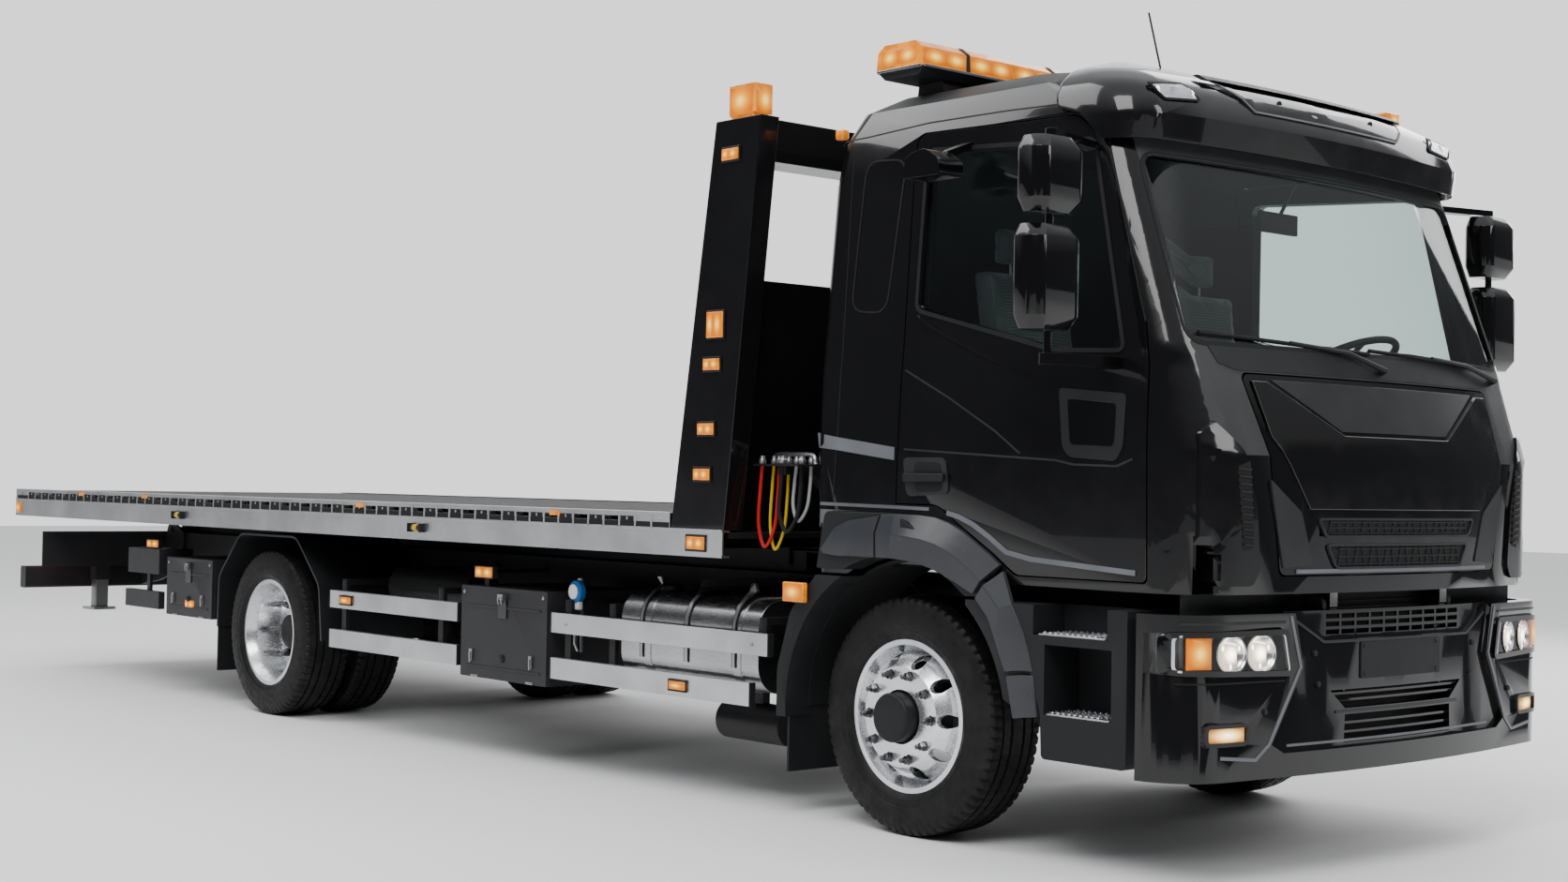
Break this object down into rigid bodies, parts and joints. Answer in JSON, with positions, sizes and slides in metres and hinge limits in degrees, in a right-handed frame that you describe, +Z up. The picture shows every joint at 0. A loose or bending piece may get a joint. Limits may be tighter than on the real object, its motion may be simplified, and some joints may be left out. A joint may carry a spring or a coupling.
{
  "type": "flatbed tow truck",
  "caption": "Recovery lorry with a tilting and sliding flat bed, a headboard with a winch behind a tilting cab, twin rear wheels and side guards.",
  "frame": {"origin": "on the ground under the middle of the overall box", "axes": "+X forward, +Y to the vehicle's left, +Z up"},
  "size_m": [9.9998, 3.1336, 3.186],
  "materials": {
    "chassis_paint": "satin black",
    "leg_steel": "dull",
    "rod_chrome": "polished",
    "engine_iron": "cast",
    "deck_board": "worn",
    "side_aluminium": "satin",
    "headboard_paint": "gloss black",
    "amber_lamp": "ribbed lens",
    "red_lamp": "ribbed lens",
    "clear_lamp": "clear lens",
    "wheel_silver": "polished",
    "tyre": "matt",
    "grille_gloss": "gloss black",
    "panel_grey": "satin dark grey",
    "bumper_paint": "gloss black",
    "cab_paint": "gloss black",
    "cab_glass": "clear",
    "guard_plastic": "matt",
    "visor_plastic": "gloss black",
    "mirror_plastic": "satin black",
    "guard_aluminium": "satin",
    "lid_aluminium": "satin",
    "interior_plastic": "grained",
    "seat_fabric": "woven"
  },
  "bodies": {
    "chassis": {"chassis_frame": "chassis_paint", "front_axle": "chassis_paint", "rear_axle": "chassis_paint", "driveline": "engine_iron", "cab_mounts": "chassis_paint", "front_bumper": "bumper_paint", "front_lamps": "clear_lamp", "front_mudguards": "panel_grey", "rear_mudguards": "guard_plastic", "side_tanks": "chassis_paint", "air_tanks": "chassis_paint", "tool_boxes": "chassis_paint", "side_guards": "guard_aluminium", "rear_bumper": "chassis_paint", "chassis_lamps": "red_lamp"},
    "cab": {"cab_shell": "cab_paint", "cab_arches": "panel_grey", "windscreen": "cab_glass", "sun_visor": "visor_plastic", "roof_fittings": "amber_lamp", "cab_interior": "interior_plastic", "seats": "seat_fabric"},
    "steering_wheel": {"steering_wheel": "interior_plastic"},
    "door_left": {"door_left": "cab_paint", "door_glass_left": "cab_glass", "mirrors_left": "mirror_plastic"},
    "door_right": {"door_right": "cab_paint", "door_glass_right": "cab_glass", "mirrors_right": "mirror_plastic"},
    "front_flap": {"front_flap": "grille_gloss"},
    "knuckle_left": {"knuckle_left": "chassis_paint"},
    "knuckle_right": {"knuckle_right": "chassis_paint"},
    "wheel_front_left": {"wheel_front_left": "wheel_silver", "tyre_front_left": "tyre"},
    "wheel_front_right": {"wheel_front_right": "wheel_silver", "tyre_front_right": "tyre"},
    "wheels_rear_left": {"wheel_rear_left": "wheel_silver", "tyres_rear_left": "tyre"},
    "wheels_rear_right": {"wheel_rear_right": "wheel_silver", "tyres_rear_right": "tyre"},
    "tilt_frame": {"tilt_frame": "chassis_paint", "slide_barrel": "chassis_paint"},
    "tilt_barrels": {"tilt_barrels": "chassis_paint"},
    "tilt_rods": {"tilt_rods": "rod_chrome"},
    "bed": {"bed_deck": "deck_board", "bed_sides": "side_aluminium", "headboard": "headboard_paint", "bed_lamps": "amber_lamp", "winch_frame": "chassis_paint", "slide_rod": "rod_chrome"},
    "winch_drum": {"winch_drum": "chassis_paint"},
    "main_lid_left": {"main_box_lid_left": "lid_aluminium"},
    "main_lid_right": {"main_box_lid_right": "lid_aluminium"},
    "rear_lid_left": {"rear_box_lid_left": "lid_aluminium"},
    "rear_lid_right": {"rear_box_lid_right": "lid_aluminium"},
    "leg_left": {"stabiliser_leg_left": "leg_steel"},
    "leg_right": {"stabiliser_leg_right": "leg_steel"}
  },
  "joints": [
    {"name": "cab_tilt", "type": "hinge", "parent": "chassis", "child": "cab", "pos_m": [4.89, 0, 0.955], "axis": [0, 1, 0], "range_deg": [0, 50]},
    {"name": "steering_wheel_turn", "type": "hinge", "parent": "cab", "child": "steering_wheel", "pos_m": [4.345, 0.55, 1.875], "axis": [-0.4384, 0, 0.8988], "range_deg": [-620, 620]},
    {"name": "door_left_hinge", "type": "hinge", "parent": "cab", "child": "door_left", "pos_m": [4.676, 1.122, 1.4], "axis": [0, 0, -1], "range_deg": [0, 70]},
    {"name": "door_right_hinge", "type": "hinge", "parent": "cab", "child": "door_right", "pos_m": [4.676, -1.122, 1.4], "axis": [0, 0, 1], "range_deg": [0, 70]},
    {"name": "front_flap_hinge", "type": "hinge", "parent": "cab", "child": "front_flap", "pos_m": [4.88, 0, 1.775], "axis": [0, -1, 0], "range_deg": [0, 60]},
    {"name": "steer_left", "type": "hinge", "parent": "chassis", "child": "knuckle_left", "pos_m": [3.5, 0.8, 0.463], "axis": [0, 0, 1], "range_deg": [-38, 38]},
    {"name": "steer_right", "type": "hinge", "parent": "chassis", "child": "knuckle_right", "pos_m": [3.5, -0.8, 0.463], "axis": [0, 0, 1], "range_deg": [-38, 38]},
    {"name": "wheel_front_left_spin", "type": "hinge", "parent": "knuckle_left", "child": "wheel_front_left", "pos_m": [3.5, 0.955, 0.463], "axis": [0, 1, 0], "continuous": true},
    {"name": "wheel_front_right_spin", "type": "hinge", "parent": "knuckle_right", "child": "wheel_front_right", "pos_m": [3.5, -0.955, 0.463], "axis": [0, 1, 0], "continuous": true},
    {"name": "wheels_rear_left_spin", "type": "hinge", "parent": "chassis", "child": "wheels_rear_left", "pos_m": [-1.5, 0.885, 0.463], "axis": [0, 1, 0], "continuous": true},
    {"name": "wheels_rear_right_spin", "type": "hinge", "parent": "chassis", "child": "wheels_rear_right", "pos_m": [-1.5, -0.885, 0.463], "axis": [0, 1, 0], "continuous": true},
    {"name": "bed_tilt", "type": "hinge", "parent": "chassis", "child": "tilt_frame", "pos_m": [-4.4, 0, 0.955], "axis": [0, -1, 0], "range_deg": [0, 12]},
    {"name": "bed_slide", "type": "slide", "parent": "tilt_frame", "child": "bed", "axis": [-1, 0, 0], "range_m": [0, 3.3]},
    {"name": "ram_swing", "type": "hinge", "parent": "chassis", "child": "tilt_barrels", "pos_m": [-3.95, 0, 0.44], "axis": [0, -1, 0], "range_deg": [0, 13]},
    {"name": "ram_stroke", "type": "slide", "parent": "tilt_barrels", "child": "tilt_rods", "axis": [0.837, 0, 0.5472], "range_m": [0, 0.15]},
    {"name": "winch_turn", "type": "hinge", "parent": "bed", "child": "winch_drum", "pos_m": [2.036, 0, 1.34], "axis": [0, 1, 0], "continuous": true},
    {"name": "leg_left_slide", "type": "slide", "parent": "chassis", "child": "leg_left", "axis": [0, 0, -1], "range_m": [0, 0.26]},
    {"name": "leg_right_slide", "type": "slide", "parent": "chassis", "child": "leg_right", "axis": [0, 0, -1], "range_m": [0, 0.26]},
    {"name": "main_lid_left_hinge", "type": "hinge", "parent": "chassis", "child": "main_lid_left", "pos_m": [0.881, 1.2, 0.388], "axis": [-1, 0, 0], "range_deg": [0, 95]},
    {"name": "main_lid_right_hinge", "type": "hinge", "parent": "chassis", "child": "main_lid_right", "pos_m": [0.881, -1.2, 0.388], "axis": [1, 0, 0], "range_deg": [0, 95]},
    {"name": "rear_lid_left_hinge", "type": "hinge", "parent": "chassis", "child": "rear_lid_left", "pos_m": [-2.4735, 1.2, 0.492], "axis": [-1, 0, 0], "range_deg": [0, 95]},
    {"name": "rear_lid_right_hinge", "type": "hinge", "parent": "chassis", "child": "rear_lid_right", "pos_m": [-2.4735, -1.2, 0.492], "axis": [1, 0, 0], "range_deg": [0, 95]}
  ],
  "couplings": [
    {"joint": "steer_right", "follows": "steer_left", "ratio": 1},
    {"joint": "steering_wheel_turn", "follows": "steer_left", "ratio": 16},
    {"joint": "ram_swing", "follows": "bed_tilt", "ratio": 1.0398},
    {"joint": "ram_stroke", "follows": "bed_tilt", "m_per_rad": 0.6816}
  ]
}
